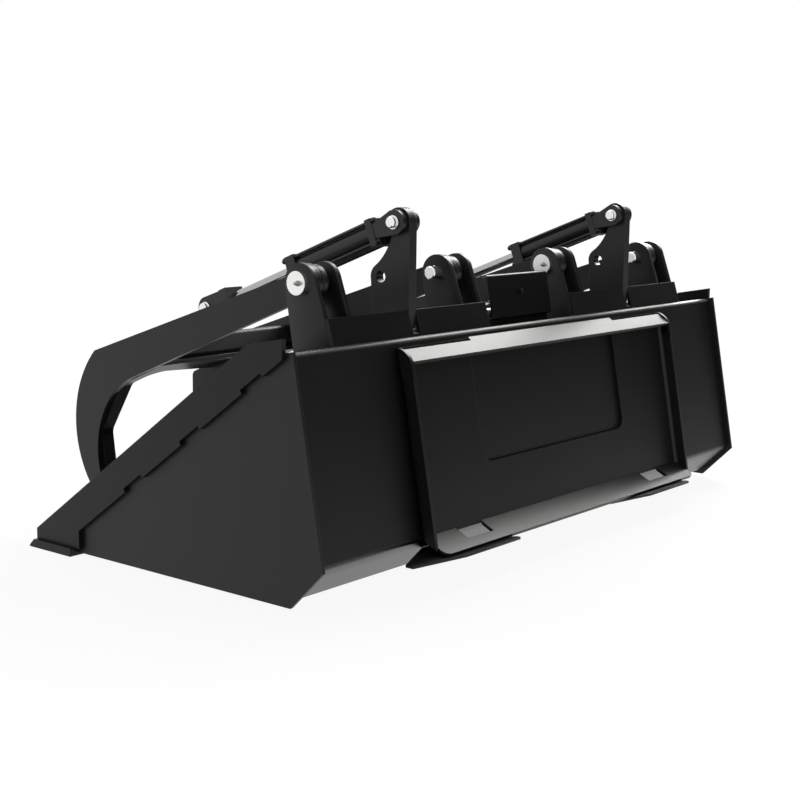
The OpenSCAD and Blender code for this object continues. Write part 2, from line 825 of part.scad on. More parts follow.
module barrel(side) color("#202221")
    on_cylinder(side)
        difference() {
            axial(barrel_from, barrel_to, barrel_d);
            axial(barrel_from - 1, barrel_to + 1, bore_d);
        }

module gland(side) color("#1f2120")
    on_cylinder(side)
        difference() {
            union() {
                end_cap(barrel_to, gland_t);
                axial(gland_to, gland_to + 5, rod_d + 14);
            }
            axial(barrel_to - 1, gland_to + 6, rod_d + 2 * run_gap);
        }

module tie_rods(side) color("#242625")
    on_cylinder(side)
        for (x = [-tie_off, tie_off], z = [-tie_off, tie_off])
            translate([x, 0, z]) {
                axial(base_len - tie_nut_t - 3, gland_to + tie_nut_t + 3, tie_d);
                for (y = [base_len - tie_nut_t, gland_to])
                    translate([0, y, 0])
                        rotate([-90, 0, 0])
                            cylinder(d = tie_nut_d, h = tie_nut_t, $fn = 6);
            }

module piston(side) color("#9a9c9a")
    on_cylinder(side)
        difference() {
            axial(barrel_to - 10 - piston_t, barrel_to - 10, bore_d - 2 * run_gap);
            axial(barrel_to - 11 - piston_t, barrel_to - 9, rod_d + 2 * run_gap);
        }

module rod(side) color("#e6e7e6")
    on_cylinder(side)
        axial(barrel_to - 10 - piston_t, rod_to, rod_d);

module rod_clevis(side) color("#1f2120")
    on_cylinder(side) {
        translate([-clevis_gap / 2 - clevis_t, rod_to, -clevis_r])
            cube([clevis_gap + 2 * clevis_t, rod_base_len, 2 * clevis_r]);
        clevis(pin_to_pin, rod_to + rod_base_len, clevis_r - 2);
    }

// Pin through a clevis: a washer head at its left end
module clevis_pin(side, at) color("#d8d9d6") {
    half = clevis_gap / 2 + clevis_t;
    on_cylinder(side)
        translate([-half, at, 0])
            rotate([0, 90, 0]) {
                translate([0, 0, -6])
                    cylinder(d = cyl_pin_d + 8, h = 6, $fn = fine);
                cylinder(d = cyl_pin_d, h = 2 * half + 8, $fn = fine);
            }
}

bucket_shell();
side_plate(-bucket_w / 2);  // side_plate_left
side_plate(bucket_w / 2 - side_t);  // side_plate_right
side_cutter(-bucket_w / 2 - cutter_t);  // side_cutter_left
side_cutter(bucket_w / 2);  // side_cutter_right
cutting_edge();
attach_face();
attach_top_lip();
attach_low_lip();
lip_gusset(-1);  // lip_gusset_left
lip_gusset(1);  // lip_gusset_right
hinge_ears(0);  // hinge_ears_1
hinge_ears(1);  // hinge_ears_2
hinge_ears(2);  // hinge_ears_3
hinge_ears(3);  // hinge_ears_4
back_gusset(0);  // back_gusset_1
back_gusset(1);  // back_gusset_2
back_gusset(2);  // back_gusset_3
back_gusset(3);  // back_gusset_4
mast(-1);  // mast_left
mast(1);  // mast_right
hose_cover();
cover_bolt();
hose_couplers();
hinge_pin(0);  // hinge_pin_1
hinge_pin(1);  // hinge_pin_2
hinge_pin(2);  // hinge_pin_3
hinge_pin(3);  // hinge_pin_4
hinge_nuts();
tine(0);  // tine_1
tine(1);  // tine_2
tine(2);  // tine_3
tine(3);  // tine_4
web(-1);  // web_left
web(1);  // web_right
cross_bar(-1);  // cross_tube_left
cross_bar(1);  // cross_tube_right
rod_lug(-1);  // rod_lug_left
rod_lug(1);  // rod_lug_right
web_rib(-1);  // web_rib_left
web_rib(1);  // web_rib_right
cylinder_base(-1);  // cylinder_base_left
cylinder_base(1);  // cylinder_base_right
barrel(-1);  // barrel_left
barrel(1);  // barrel_right
gland(-1);  // gland_left
gland(1);  // gland_right
tie_rods(-1);  // tie_rods_left
tie_rods(1);  // tie_rods_right
clevis_pin(-1, 0);  // mast_pin_left
clevis_pin(1, 0);  // mast_pin_right
piston(-1);  // piston_left
piston(1);  // piston_right
rod(-1);  // rod_left
rod(1);  // rod_right
rod_clevis(-1);  // rod_clevis_left
rod_clevis(1);  // rod_clevis_right
clevis_pin(-1, pin_to_pin);  // rod_pin_left
clevis_pin(1, pin_to_pin);  // rod_pin_right
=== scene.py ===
"""Grapple bucket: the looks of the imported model, in a white studio."""
import json
import math

import bpy
from mathutils import Matrix, Vector


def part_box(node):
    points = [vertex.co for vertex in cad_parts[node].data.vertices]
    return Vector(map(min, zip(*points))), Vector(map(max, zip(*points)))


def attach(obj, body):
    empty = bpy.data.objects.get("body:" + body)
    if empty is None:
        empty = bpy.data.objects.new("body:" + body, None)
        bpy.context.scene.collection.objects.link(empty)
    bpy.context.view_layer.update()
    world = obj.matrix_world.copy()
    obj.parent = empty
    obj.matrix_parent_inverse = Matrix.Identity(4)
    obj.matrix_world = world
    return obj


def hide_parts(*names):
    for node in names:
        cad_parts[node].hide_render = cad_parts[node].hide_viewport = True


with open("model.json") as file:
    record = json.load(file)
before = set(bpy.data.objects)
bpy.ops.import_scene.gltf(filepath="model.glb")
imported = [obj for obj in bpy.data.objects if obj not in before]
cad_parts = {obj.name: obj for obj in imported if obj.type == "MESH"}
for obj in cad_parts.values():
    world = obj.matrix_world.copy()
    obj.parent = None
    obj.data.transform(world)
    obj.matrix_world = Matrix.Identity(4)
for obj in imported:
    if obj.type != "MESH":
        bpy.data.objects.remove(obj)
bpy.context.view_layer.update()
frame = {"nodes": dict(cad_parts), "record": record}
nodes = frame["nodes"]

# Camera: it stands behind the bucket's left corner, a little above its hinge pins,
# with a long lens held almost level.
CAMERA_PLACE = (-3.0235, -2.7421, 0.9058)
CAMERA_AZIMUTH = math.radians(51.199)
CAMERA_PITCH = math.radians(-9.019)
CAMERA_ROLL = math.radians(0.688)
FOCAL_PIXELS = 1447.6
PHOTO_PIXELS = 800
SENSOR_MM = 36
CAMERA_SIGHT = 60
bpy.ops.object.camera_add(location=CAMERA_PLACE)
camera = bpy.context.object
camera.name = "studio_camera"
camera.matrix_world = (
    Matrix.Translation(CAMERA_PLACE)
    @ Matrix.Rotation(-CAMERA_AZIMUTH, 4, "Z")
    @ Matrix.Rotation(math.radians(90) + CAMERA_PITCH, 4, "X")
    @ Matrix.Rotation(CAMERA_ROLL, 4, "Z")
)
camera.data.sensor_width = SENSOR_MM
camera.data.lens = FOCAL_PIXELS / PHOTO_PIXELS * SENSOR_MM
camera.data.clip_end = CAMERA_SIGHT
scene = bpy.context.scene
scene.camera = camera
scene.view_settings.view_transform = "Standard"


# Studio: a white room, a pale floor that keeps a faint shadow, an overhead softbox, a
# strip lamp that lights the lips of the quick-attach frame, and a dark card that only
# reflections see, as hung beside a glossy product.
class Value:
    """A socket in a material's nodes. Arithmetic on it adds Math nodes."""

    def __init__(self, finish, socket):
        self.finish = finish
        self.socket = socket

    def worked(self, operation, first, second):
        return self.finish.node("ShaderNodeMath", {"operation": operation}, {0: first, 1: second})

    def __add__(self, other):
        return self.worked("ADD", self, other)

    def __radd__(self, other):
        return self.worked("ADD", other, self)

    def __sub__(self, other):
        return self.worked("SUBTRACT", self, other)

    def __rsub__(self, other):
        return self.worked("SUBTRACT", other, self)

    def __mul__(self, other):
        return self.worked("MULTIPLY", self, other)

    def __rmul__(self, other):
        return self.worked("MULTIPLY", other, self)

    def clamped(self):
        return self.finish.node("ShaderNodeClamp", {}, {"Value": self})


class Finish:
    """The nodes of one material, or of the world."""

    def __init__(self, owner):
        owner.use_nodes = True
        self.owner = owner
        self.tree = owner.node_tree

    def feed(self, socket, value):
        if isinstance(value, Value):
            self.tree.links.new(value.socket, socket)
        else:
            socket.default_value = value

    def node(self, kind, settings, inputs, output=0):
        """A new node: its type, its settings, and the values or links of its sockets."""
        made = self.tree.nodes.new(kind)
        for name, value in settings.items():
            setattr(made, name, value)
        for name, value in inputs.items():
            self.feed(made.inputs[name], value)
        return Value(self, made.outputs[output])

    def place(self):
        """Where a point of the surface is on the object."""
        return self.node("ShaderNodeTexCoord", {}, {}, "Object")

    def noise(self, place, scale, detail, roughness):
        """Cloudy values about 0.5, with about scale clouds to a metre."""
        sockets = {"Vector": place, "Scale": scale, "Detail": detail, "Roughness": roughness}
        return self.node("ShaderNodeTexNoise", {}, sockets)

    def mixed(self, share, first, second):
        """The first colour where share is 0, and the second where it is 1."""
        sockets = {0: share, 6: (*first, 1), 7: (*second, 1)}
        return self.node("ShaderNodeMix", {"data_type": "RGBA"}, sockets, 2)

    def set(self, node_name, **inputs):
        for name, value in inputs.items():
            self.feed(self.tree.nodes[node_name].inputs[name.replace("_", " ")], value)


def seen_directly(finish):
    """1 for the camera, for reflections and for what glass lets through, and 0 for light."""
    path = "ShaderNodeLightPath"
    camera_ray = finish.node(path, {}, {}, "Is Camera Ray")
    glossy_ray = finish.node(path, {}, {}, "Is Glossy Ray")
    glass_ray = finish.node(path, {}, {}, "Is Transmission Ray")
    return (camera_ray + glossy_ray + glass_ray).clamped()


WHITE = (1, 1, 1, 1)
ROOM_LIGHT = 0.24
room = Finish(bpy.data.worlds.new("white_room"))
scene.world = room.owner
room.set("Background", Color=WHITE, Strength=ROOM_LIGHT + (1 - ROOM_LIGHT) * seen_directly(room))

# The floor glows white where the camera sees it, less so near the object, where the
# painted floor below the glow keeps the shadow.
FLOOR_HALF = 9
FLOOR_COLOUR = (0.9, 0.9, 0.9, 1)
GLOW_STRENGTH = 1.03
GLOW_SHARE = 0.90
SHADOW_REACH = 1.2
SHADOW_FADE = 0.9
bpy.ops.mesh.primitive_plane_add(size=2 * FLOOR_HALF, location=(0, 0, 0))
floor = bpy.context.object
floor.name = "studio_floor"
floor_finish = Finish(bpy.data.materials.new("white_floor"))
floor_finish.set("Principled BSDF", Base_Color=FLOOR_COLOUR, Roughness=1, Specular_IOR_Level=0)
painted = Value(floor_finish, floor_finish.tree.nodes["Principled BSDF"].outputs[0])
glow = floor_finish.node("ShaderNodeEmission", {}, {"Color": WHITE, "Strength": GLOW_STRENGTH})
far_out = floor_finish.node(
    "ShaderNodeVectorMath", {"operation": "LENGTH"}, {0: floor_finish.place()}, "Value"
)
whiter = ((far_out - SHADOW_REACH) * SHADOW_FADE).clamped()
share = (GLOW_SHARE + (1 - GLOW_SHARE) * whiter) * seen_directly(floor_finish)
blend = floor_finish.node("ShaderNodeMixShader", {}, {0: share, 1: painted, 2: glow})
floor_finish.set("Material Output", Surface=blend)
floor.data.materials.append(floor_finish.owner)

LAMP_COLOUR = (1, 0.995, 0.965)


def facing(place, target, axis):
    """The turn that points an object's axis from its place to a target."""
    return (Vector(target) - Vector(place)).to_track_quat(axis, "Y").to_euler()


def softbox(name, place, target, size, power):
    """A rectangular lamp at place that faces target."""
    bpy.ops.object.light_add(type="AREA", location=place)
    lamp = bpy.context.object
    lamp.name = name
    lamp.data.shape = "RECTANGLE"
    lamp.data.size, lamp.data.size_y = size
    lamp.data.energy = power
    lamp.data.color = LAMP_COLOUR
    lamp.rotation_euler = facing(place, target, "-Z")
    lamp.visible_camera = False


softbox("top_softbox", place=(0.5, 0.8, 3.6), target=(0, 0, 0.3), size=(2.6, 2.0), power=36)
softbox("lip_softbox", place=(2.66, -0.02, 2.29), target=(0, -0.62, 0.5), size=(1.3, 2.3), power=120)

CARD_PLACE = (3.4, -3.6, 1.5)
CARD_TARGET = (0, -0.8, 0.5)
CARD_SIZE = (5.2, 3.6, 1)
CARD_COLOUR = (0.02, 0.02, 0.02, 1)
bpy.ops.mesh.primitive_plane_add(size=1, location=CARD_PLACE)
card = bpy.context.object
card.name = "rear_flag"
card.scale = CARD_SIZE
card.rotation_euler = facing(CARD_PLACE, CARD_TARGET, "Z")
card_finish = Finish(bpy.data.materials.new("rear_flag"))
cloth = card_finish.node("ShaderNodeEmission", {}, {"Color": CARD_COLOUR, "Strength": 1})
card_finish.set("Material Output", Surface=cloth)
card.data.materials.append(card_finish.owner)
card.visible_camera = False
card.visible_diffuse = False
card.visible_transmission = False
card.visible_shadow = False

# Bucket: the bent sheet, the side plates with their thicker front strips and the
# cutting edge, cut from steel plate, welded and powder coated in satin black.
PAINT_DARK = (0.0062, 0.0072, 0.0068)
PAINT_PALE = (0.0215, 0.0240, 0.0230)
PAINT_IOR = 1.5
PAINT_EDGE_R = 0.0016
EDGE_HIGHLIGHT_SPREAD = 5
PEEL_DEPTH = 0.0004


def black_paint(name, seed, roughness=0.40, sheen=0.32, painted_light_level=1.0):
    """Satin black powder coat, a little smoother and paler on edges: thin paint there, and a painted
    highlight along them.
    """
    paint = Finish(bpy.data.materials.new(name))
    shifted = paint.node(
        "ShaderNodeVectorMath",
        {"operation": "ADD"},
        {0: paint.place(), 1: (seed, 2 * seed, 3 * seed)},
    )
    patches = paint.noise(shifted, scale=3.1, detail=4, roughness=0.6)
    speckle = paint.noise(shifted, scale=260, detail=2, roughness=0.7)
    peel = paint.noise(shifted, scale=620, detail=1, roughness=0.5)
    rounded = paint.node("ShaderNodeBevel", {"samples": 6}, {"Radius": PAINT_EDGE_R}, "Normal")
    face = paint.node("ShaderNodeNewGeometry", {}, {}, "Normal")
    along = paint.node(
        "ShaderNodeVectorMath", {"operation": "DOT_PRODUCT"}, {0: rounded, 1: face}, "Value"
    )
    # Edges are paler: the paint is thinner there, and this paleness is also a painted highlight
    # along every edge.
    edge = ((1 - along) * EDGE_HIGHLIGHT_SPREAD).clamped()
    tone_and_edge_highlight = (patches * 0.5 + speckle * 0.2 + edge * 0.55).clamped()
    # The level given as the last argument scales both colours for the part that this copy of the
    # paint goes on: below 1 it is painted shade, above 1 painted light, for how much light that part
    # gets.
    dark = [painted_light_level * part for part in PAINT_DARK]
    pale = [painted_light_level * part for part in PAINT_PALE]
    gloss = roughness + 0.05 * (patches - 0.5) + 0.04 * (speckle - 0.5) - 0.06 * edge
    bumped = paint.node(
        "ShaderNodeBump",
        {},
        {"Strength": 0.10, "Distance": PEEL_DEPTH, "Height": peel, "Normal": rounded},
    )
    paint.set("Principled BSDF", Base_Color=paint.mixed(tone_and_edge_highlight, dark, pale), Roughness=gloss)
    paint.set("Principled BSDF", Normal=bumped, IOR=PAINT_IOR, Specular_IOR_Level=sheen)
    return paint.owner


def coat(material, *names):
    """Gives CAD nodes a material, in place of the plain one that they came with."""
    for name in names:
        slots = nodes[name].data.materials
        slots.clear()
        slots.append(material)


# The sheet's and the strips' copies of the paint are darkened by their last number: painted shade.
sheet_paint = black_paint("sheet_paint", 0.3, sheen=0.33, painted_light_level=0.40)
plate_paint = black_paint("plate_paint", 1.7, roughness=0.42)
strip_paint = black_paint("strip_paint", 2.9, sheen=0.24, painted_light_level=0.7)
coat(sheet_paint, "bucket_shell")
coat(plate_paint, "side_plate_left", "side_plate_right")
coat(strip_paint, "side_cutter_left", "side_cutter_right", "cutting_edge")

# The paint lies thick and glossy low on the sheet: on the floor and the heel panel.
THICK_BELOW = 0.112
THICK_FADE = 25
THICK_COAT = 0.5
THICK_ROUGHNESS = 0.3
low_sheet = Finish(sheet_paint)
above_ground = low_sheet.node("ShaderNodeSeparateXYZ", {}, {0: low_sheet.place()}, "Z")
thickness = ((THICK_BELOW - above_ground) * THICK_FADE).clamped() * THICK_COAT
low_sheet.set("Principled BSDF", Coat_Weight=thickness, Coat_Roughness=THICK_ROUGHNESS)

# Quick-attach frame: a face plate with bent flanges, a hooked upper lip between them
# and a lower lip with pin slots, all bent from plate, welded and in the bucket's paint.
# The lips are trimmed or bent copies of the CAD ones.
REAR = Vector([m for m in frame["record"]["mounts"] if m["name"] == "quick_attach"][0]["axis"])
FORWARD = -REAR
UP_WALL = Vector((0, REAR.z, -REAR.y))
WALL_FOOT = Vector((0, -0.839, 0.102))
STOCK = 0.3
SMOOTH_BELOW = math.radians(32)
FLANGE_T = 0.008
FLANGE_REACH = 0.0425


def on_wall(forward, up):
    """A point given forward of the wall's rear face and up along it, in the middle."""
    return WALL_FOOT + forward * FORWARD + up * UP_WALL


def edit_all():
    """Opens the active piece in edit mode with all of it selected."""
    bpy.ops.object.mode_set(mode="EDIT")
    bpy.ops.mesh.select_all(action="SELECT")


def done_editing():
    """Closes edit mode."""
    bpy.ops.object.mode_set(mode="OBJECT")


def take_up(piece):
    """Makes a piece the only one selected, and the active one."""
    bpy.ops.object.select_all(action="DESELECT")
    piece.select_set(True)
    bpy.context.view_layer.objects.active = piece


def turn_faces_out(piece):
    """Points all faces of a piece outwards."""
    take_up(piece)
    edit_all()
    bpy.ops.mesh.normals_make_consistent(inside=False)
    done_editing()


def finish_piece(piece, name, material, body):
    """Names and paints a finished piece, and joins it to the body that carries it."""
    take_up(piece)
    bpy.ops.object.shade_smooth_by_angle(angle=SMOOTH_BELOW)
    piece.name = name
    piece.data.name = name
    piece.data.materials.clear()
    piece.data.materials.append(material)
    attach(piece, body)


def copied(piece):
    """Another of a piece, with its own mesh."""
    twin = piece.copy()
    twin.data = piece.data.copy()
    scene.collection.objects.link(twin)
    twin.parent = None
    twin.matrix_world = Matrix.Identity(4)
    return twin


def repeated(piece, moves):
    """A modelled piece and its copies, one for each move away from where it was modelled."""
    pieces = [piece] + [copied(piece) for _ in moves[1:]]
    for each, move in zip(pieces, moves):
        each.data.transform(move)
        if move.determinant() < 0:
            turn_faces_out(each)
    return pieces


def across(x):
    """A move across the bucket."""
    return Matrix.Translation((x, 0, 0))


def copy_of(node_name):
    """A closed copy of a CAD node, to be trimmed or moved and shown in its place."""
    piece = copied(nodes[node_name])
    take_up(piece)
    edit_all()
    bpy.ops.mesh.remove_doubles(threshold=0.000002)
    done_editing()
    bpy.ops.mesh.customdata_custom_splitnormals_clear()
    return piece


def block(low, high):
    """A block between two corners."""
    middle = (Vector(low) + Vector(high)) / 2
    size = Vector(high) - Vector(low)
    bpy.ops.object.select_all(action="DESELECT")
    bpy.ops.mesh.primitive_cube_add(size=1, location=middle, scale=size)
    bpy.ops.object.transform_apply(location=True, rotation=True, scale=True)
    return bpy.context.object


def stock_at(left, right, place):
    """Stock to saw a piece out of, far larger than the piece but as wide, round place."""
    return block(
        (left, place.y - STOCK, place.z - STOCK), (right, place.y + STOCK, place.z + STOCK)
    )


def saw(piece, place, away):
    """Cuts off what lies past place in the direction away, and closes the cut."""
    take_up(piece)
    edit_all()
    bpy.ops.mesh.bisect(plane_co=place, plane_no=away, use_fill=True, clear_outer=True)
    done_editing()


def break_edges(piece, width, segments=2):
    """Rounds all of a piece's sharp edges."""
    take_up(piece)
    rounding = piece.modifiers.new("rounding", "BEVEL")
    rounding.width = width
    rounding.segments = segments
    rounding.limit_method = "ANGLE"
    bpy.ops.object.modifier_apply(modifier="rounding")


def pick_edges(piece, wanted):
    """Opens a piece in edit mode with the edges selected whose two ends pass a test."""
    take_up(piece)
    bpy.ops.object.mode_set(mode="EDIT")
    bpy.ops.mesh.select_mode(type="EDGE")
    bpy.ops.mesh.select_all(action="DESELECT")
    done_editing()
    for edge in piece.data.edges:
        start, end = [piece.data.vertices[v].co for v in edge.vertices]
        edge.select = wanted(start, end)
    bpy.ops.object.mode_set(mode="EDIT")


def round_folds(piece, radius, segments, near):
    """Rounds the edges that run across the bucket and whose ends pass the test near."""
    def is_fold(start, end):
        along_x = abs((end - start).x) > (end - start).length * 0.99
        return along_x and near(start) and near(end)

    pick_edges(piece, is_fold)
    bpy.ops.mesh.bevel(offset=radius, segments=segments, affect="EDGES")
    done_editing()


# The frame's copy of the paint is darkened a little: painted shade.
frame_paint = black_paint("frame_paint", 4.1, roughness=0.38, sheen=0.27, painted_light_level=0.75)
lip_paint = black_paint("lip_paint", 5.3, roughness=0.33)
coat(frame_paint, "attach_face")

frame_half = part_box("attach_face")[1][0]
upper_lip = copy_of("attach_top_lip")
for side in (-1, 1):
    saw(upper_lip, (side * (frame_half - FLANGE_T), 0, 0), (side, 0, 0))
finish_piece(upper_lip, "upper_lip", lip_paint, "bucket")
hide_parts("attach_top_lip")

LOW_LIP_PIVOT = 0.018
LOW_LIP_DROP = 0.012
LOW_LIP_TURN = math.radians(-7.5)
LOW_LIP_SHRINK = 0.89
lower_lip = copy_of("attach_low_lip")
pivot = on_wall(-FLANGE_T, LOW_LIP_PIVOT)
lip_run = (REAR - UP_WALL).normalized()
lower_lip.data.transform(
    Matrix.Translation(pivot - LOW_LIP_DROP * UP_WALL)
    @ Matrix.Rotation(LOW_LIP_TURN, 4, "X")
    @ Matrix.Scale(LOW_LIP_SHRINK, 4, lip_run)
    @ Matrix.Translation(-pivot)
)
finish_piece(lower_lip, "lower_lip", lip_paint, "bucket")
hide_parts("attach_low_lip")

# The flanges end in rounded corners at the upper lip's ends, a little proud of the lip.
CORNER_SKIN = 0.0004
CORNER_FOOT = 0.352
CORNER_TOP = 0.425
CORNER_PROUD = 0.004
CORNER_ROUND = 0.014
CORNER_EDGE_CLEAR = 0.004
LIP_EDGE = (-0.042, 0.392)
LIP_SLOPE = math.radians(47)
lip_up = math.sin(LIP_SLOPE) * REAR + math.cos(LIP_SLOPE) * UP_WALL
left_end = -frame_half - CORNER_SKIN
corner_t = FLANGE_T + CORNER_SKIN
corner = stock_at(left_end, left_end + corner_t, on_wall(-FLANGE_T, CORNER_TOP))
saw(corner, on_wall(-FLANGE_REACH, 0), REAR)
saw(corner, on_wall(-FLANGE_T, 0), FORWARD)
saw(corner, on_wall(0, CORNER_FOOT), -UP_WALL)
saw(corner, on_wall(*LIP_EDGE) + CORNER_PROUD * lip_up, lip_up)
saw(corner, on_wall(0, CORNER_TOP), UP_WALL)


def is_corner_top(point):
    """True for the sawn ends of the corner's slope, but not for its edge at the plate."""
    apart = point - on_wall(-FLANGE_T, CORNER_FOOT)
    return min(apart.dot(UP_WALL), apart.dot(REAR)) > CORNER_EDGE_CLEAR


round_folds(corner, CORNER_ROUND, 8, is_corner_top)
corners = repeated(corner, [across(0), across(2 * frame_half + CORNER_SKIN - FLANGE_T)])
for word, corner in zip(("left", "right"), corners):
    finish_piece(corner, f"frame_corner_{word}", frame_paint, "bucket")

# A flat gusset carries the lower lip under each slot, with its corners sawn off. Each
# cut runs between two points, given across from the slot's middle and along Y.
SLOT_X = 0.410
GUSSET_LEFT = -0.261
GUSSET_RIGHT = 0.105
GUSSET_REAR_Y = -0.9201
GUSSET_FRONT_Y = -0.8085
GUSSET_CUTS = (
    ((GUSSET_RIGHT, -0.9101), (-0.035, GUSSET_FRONT_Y)),
    ((-0.125, GUSSET_FRONT_Y), (GUSSET_LEFT, -0.8711)),
    ((GUSSET_LEFT, -0.8921), (-0.105, GUSSET_REAR_Y)),
)
low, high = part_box("lip_gusset_left")
gusset = block((GUSSET_LEFT, GUSSET_REAR_Y, low[2]), (GUSSET_RIGHT, GUSSET_FRONT_Y, high[2]))
for (start_x, start_y), (end_x, end_y) in GUSSET_CUTS:
    saw(gusset, (start_x, start_y, 0), (end_y - start_y, start_x - end_x, 0))
break_edges(gusset, width=0.0008)
for word, gusset in zip(("left", "right"), repeated(gusset, [across(-SLOT_X), across(SLOT_X)])):
    finish_piece(gusset, f"slot_gusset_{word}", frame_paint, "bucket")
    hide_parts(f"lip_gusset_{word}")

# Ears, masts and gussets: flame-cut plate welded upright on the flange. An ear has a
# round top about the hinge pin and widens down to the flange, and two make a pair.
PAIRS = (1, 2, 3, 4)
TUBE_HALF = 0.0298
EAR_R = 0.043
EAR_T = 0.0127
EAR_PAIR_HALF = 0.044
EAR_FOOT_SHORT = 0.004
EAR_FOOT_H = 0.024
EAR_SOLE = 0.0005
EAR_SOLE_RISE = 0.0001
ear_paint = black_paint("ear_paint", 6.2, roughness=0.38)
# The gussets' copy of the paint, also on the mast welds, is darkened (painted shade), and the masts'
# copy is paler (painted light).
gusset_paint = black_paint("gusset_paint", 6.9, roughness=0.38, sheen=0.24, painted_light_level=0.6)
mast_paint = black_paint("mast_paint", 7.1, roughness=0.38, sheen=0.34, painted_light_level=1.6)
coat(gusset_paint, *[f"back_gusset_{number}" for number in PAIRS])
coat(mast_paint, "mast_left", "mast_right")

joints = {joint["name"]: joint for joint in frame["record"]["behaviour"]["joints"]}
hinge = Vector(joints["grapple_left_hinge"]["pos_m"])
hinge.x = 0
pair_x = {number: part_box(f"tine_{number}")[0][0] + TUBE_HALF for number in PAIRS}
pair_moves = [across(pair_x[number]) for number in PAIRS]


def joined(pieces):
    """One object from several."""
    bpy.ops.object.select_all(action="DESELECT")
    for piece in pieces:
        piece.select_set(True)
    bpy.context.view_layer.objects.active = pieces[0]
    bpy.ops.object.join()
    return pieces[0]


foot_low, foot_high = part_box("hinge_ears_1")
ear_rear = foot_low[1]
rear_points = [v.co for v in nodes["hinge_ears_1"].data.vertices if v.co.y < ear_rear + EAR_SOLE]
flange_top = Vector((0, ear_rear, max(point.z for point in rear_points)))
ear_top_middle = hinge + Vector((EAR_T / 2 - EAR_PAIR_HALF, 0, 0))
bpy.ops.object.select_all(action="DESELECT")
bpy.ops.mesh.primitive_cylinder_add(
    vertices=96, radius=EAR_R, depth=EAR_T, rotation=(0, math.pi / 2, 0), location=ear_top_middle
)
bpy.ops.object.transform_apply(location=True, rotation=True, scale=True)
ear_top = bpy.context.object
foot = block(
    (-EAR_PAIR_HALF, ear_rear, foot_low[2]),
    (EAR_T - EAR_PAIR_HALF, foot_high[1] - EAR_FOOT_SHORT, foot_low[2] + EAR_FOOT_H),
)
sole = flange_top + Vector((0, 0, EAR_SOLE_RISE))
saw(foot, sole, UP_WALL)
saw(foot, sole - EAR_SOLE * UP_WALL, -UP_WALL)
ear = joined([ear_top, foot])
edit_all()
bpy.ops.mesh.convex_hull()
done_editing()
turn_faces_out(ear)
pair = joined(repeated(ear, [across(0), across(2 * EAR_PAIR_HALF - EAR_T)]))
break_edges(pair, width=0.0009)
for number, ears in zip(PAIRS, repeated(pair, pair_moves)):
    finish_piece(ears, f"ear_pair_{number}", ear_paint, "bucket")
    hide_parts(f"hinge_ears_{number}")

# A fillet weld joins each mast's rear foot to the flange.
FOOT_WELD_LEG = 0.015
FOOT_WELD_THROAT = 0.0108
WELD_SKIN = 0.0002
WELD_SINK = 0.0003
WELD_INTO_MAST = 0.001
mast_low, mast_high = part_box("mast_left")
mast_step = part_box("mast_right")[0][0] - mast_low[0]
mast_foot = flange_top + (mast_low[1] - ear_rear) * FORWARD
weld = block(
    (mast_low[0] + WELD_SKIN, mast_low[1] - FOOT_WELD_LEG, flange_top.z - STOCK),
    (mast_high[0] - WELD_SKIN, mast_low[1] + WELD_INTO_MAST, flange_top.z + STOCK),
)
saw(weld, mast_foot - WELD_SINK * UP_WALL, -UP_WALL)
saw(weld, mast_foot + FOOT_WELD_THROAT * (UP_WALL + REAR), UP_WALL + REAR)
break_edges(weld, width=0.002, segments=3)
for word, weld in zip(("left", "right"), repeated(weld, [across(0), across(mast_step)])):
    finish_piece(weld, f"mast_weld_{word}", gusset_paint, "bucket")


# Hose cover: a bent sheet in the middle of the flange, held by a bolt and raised on a
# bar, with the steel ends of two hose couplers at its left.
STAIN_SHADE = 0.86
STEEL_EDGE_R = 0.0009


def turned_steel(name, colour, roughness):
    """Machined steel: faint stains and softly broken edges."""
    steel = Finish(bpy.data.materials.new(name))
    stains = steel.noise(steel.place(), scale=90, detail=3, roughness=0.6)
    stained = [STAIN_SHADE * part for part in colour]
    rounded = steel.node("ShaderNodeBevel", {"samples": 6}, {"Radius": STEEL_EDGE_R}, "Normal")
    steel.set("Principled BSDF", Base_Color=steel.mixed(stains, stained, colour))
    steel.set("Principled BSDF", Roughness=roughness + 0.1 * stains, Normal=rounded)
    steel.set("Principled BSDF", Metallic=1.0)
    return steel.owner


COVER_RISE = 0.016
COVER_T = 0.004
COVER_LIP = 0.022
COVER_FOOT = 0.060
COVER_BEND = 0.007
FOLD_NEAR = 0.0006
COVER_TOP = 0.126
COVER_BACK_Y = -0.708
cover_low, cover_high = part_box("hose_cover")
cover_half = cover_high[0]
cover_height = COVER_TOP - COVER_RISE
cover_foot = Vector((0, COVER_BACK_Y, cover_low[2] + COVER_FOOT * REAR.z)) + COVER_RISE * UP_WALL
cover_head = cover_foot + cover_height * UP_WALL
cover_middle = (cover_foot + cover_head) / 2
bpy.ops.object.select_all(action="DESELECT")
bpy.ops.mesh.primitive_plane_add(size=1)
cover = bpy.context.object
upright = Matrix((
    (1, 0, 0, 0),
    (0, UP_WALL.y, REAR.y, 0),
    (0, UP_WALL.z, REAR.z, 0),
    (0, 0, 0, 1),
))
cover.data.transform(
    Matrix.Translation(cover_middle)
    @ upright
    @ Matrix.Diagonal((2 * cover_half, cover_height, 1, 1))
)


def bend_out(piece, beyond, step):
    """Adds a leg to a sheet: the edge whose two ends pass the test goes out by step."""
    pick_edges(piece, lambda start, end: beyond(start) and beyond(end))
    bpy.ops.mesh.extrude_edges_move(TRANSFORM_OT_translate={"value": step})
    done_editing()


